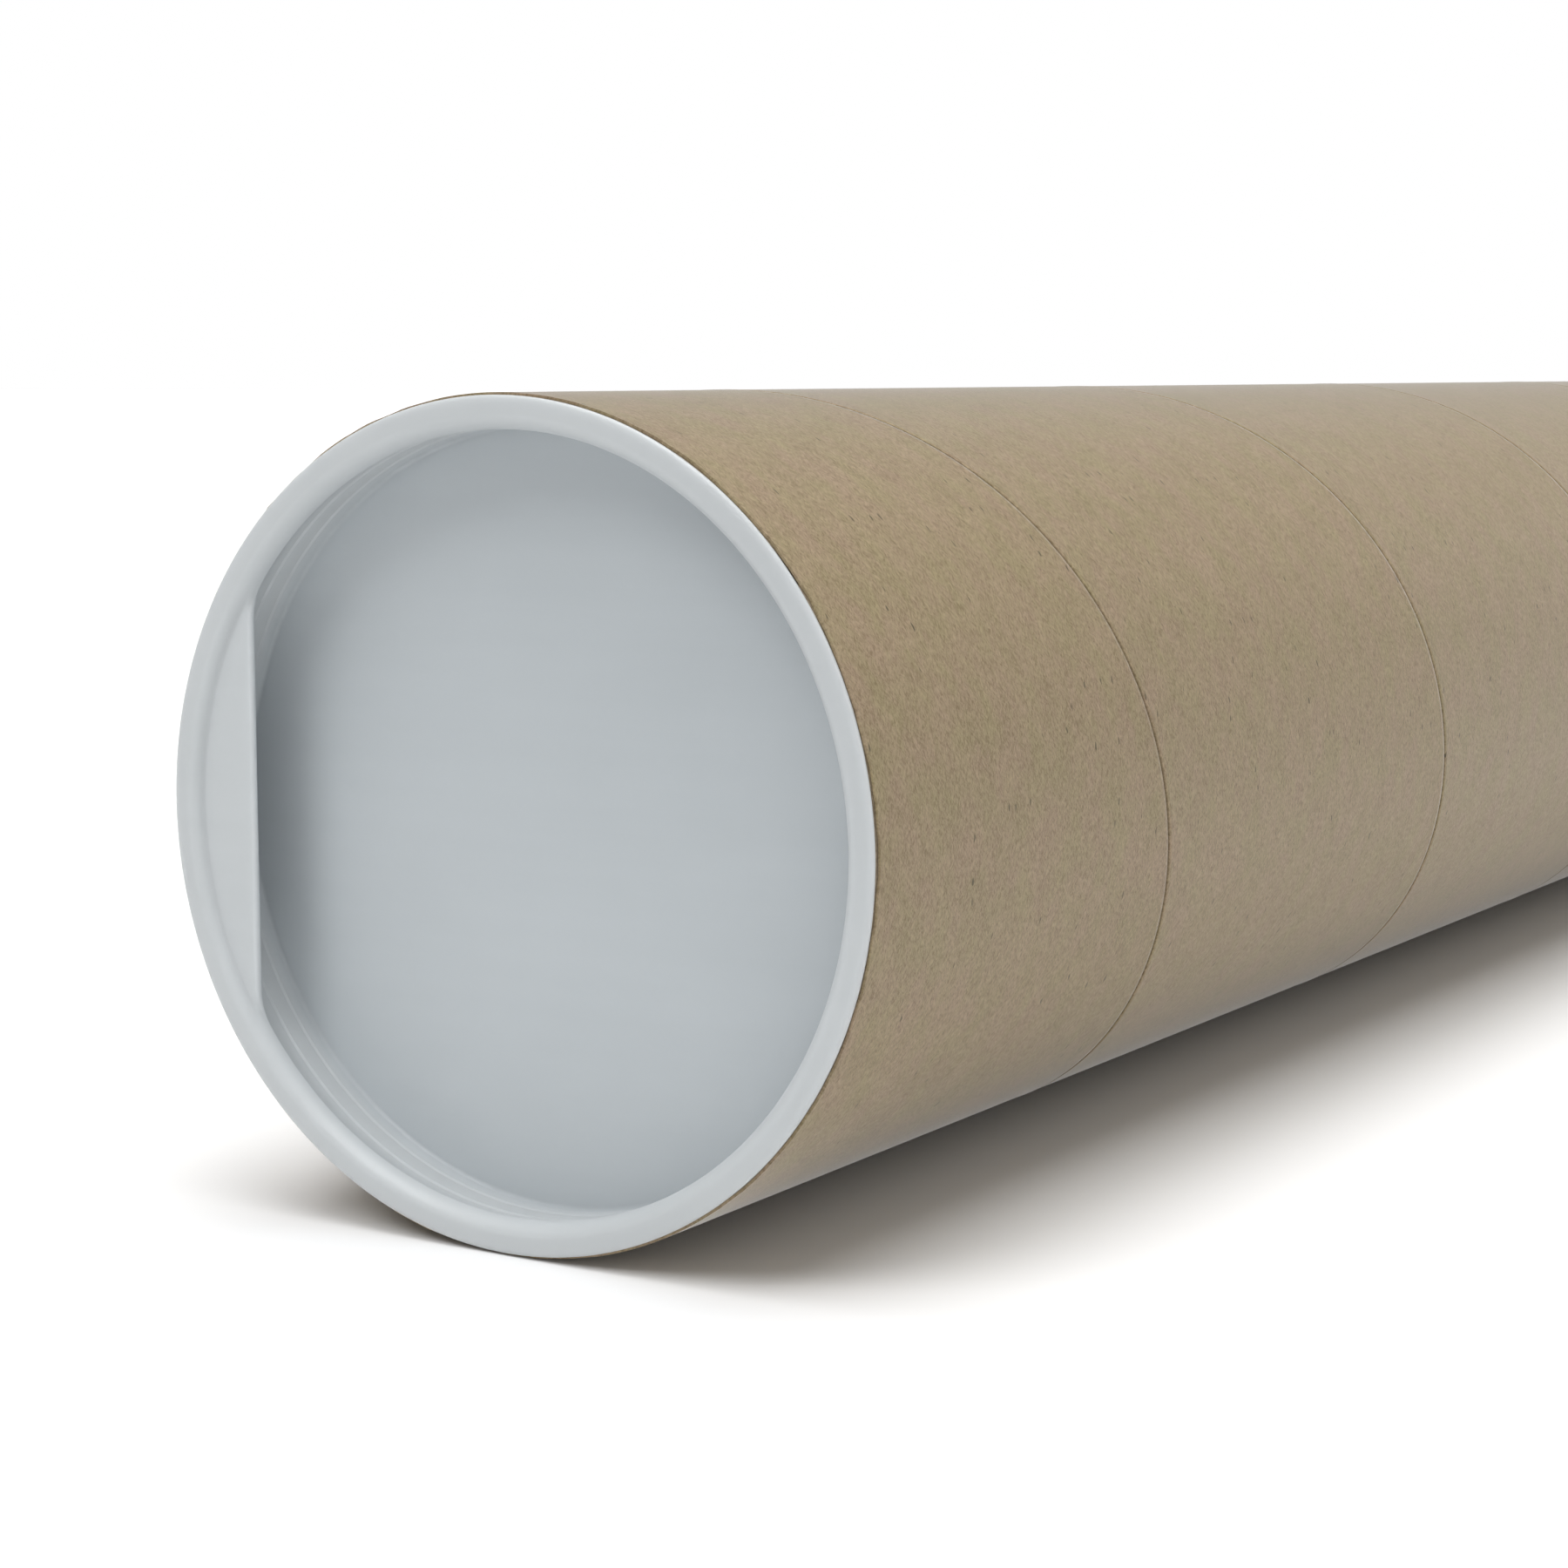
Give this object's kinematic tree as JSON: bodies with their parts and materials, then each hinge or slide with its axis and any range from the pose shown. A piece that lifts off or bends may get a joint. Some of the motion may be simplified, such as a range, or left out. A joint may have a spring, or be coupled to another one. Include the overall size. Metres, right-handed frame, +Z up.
{
  "type": "drawing tube",
  "caption": "Spiral-wound cardboard tube for rolled drawings, lying on its side, closed at each end by a push-in plastic plug cap with a pull tab.",
  "frame": {"origin": "centre of the bounding box's bottom face, on the surface that the tube lies on, halfway along the tube", "axes": "+Z up; Y along the tube's axis, with the front cap facing -Y and the rear cap facing +Y; +X to the right seen from the front cap"},
  "size_m": [0.105, 0.6414, 0.105],
  "materials": {
    "kraft_paper": "matte",
    "core_board": "matte",
    "liner_paper": "matte",
    "cap_plastic": "satin"
  },
  "bodies": {
    "tube": {"outer_ply": "kraft_paper", "core_ply_1": "core_board", "core_ply_2": "core_board", "core_ply_3": "core_board", "core_ply_4": "core_board", "liner_ply": "liner_paper"},
    "front_cap": {"front_cap": "cap_plastic"},
    "rear_cap": {"rear_cap": "cap_plastic"}
  },
  "joints": [
    {"name": "front_cap_pull", "type": "slide", "parent": "tube", "child": "front_cap", "axis": [0, -1, 0], "range_m": [0, 0.12]},
    {"name": "rear_cap_pull", "type": "slide", "parent": "tube", "child": "rear_cap", "axis": [0, 1, 0], "range_m": [0, 0.12]}
  ]
}
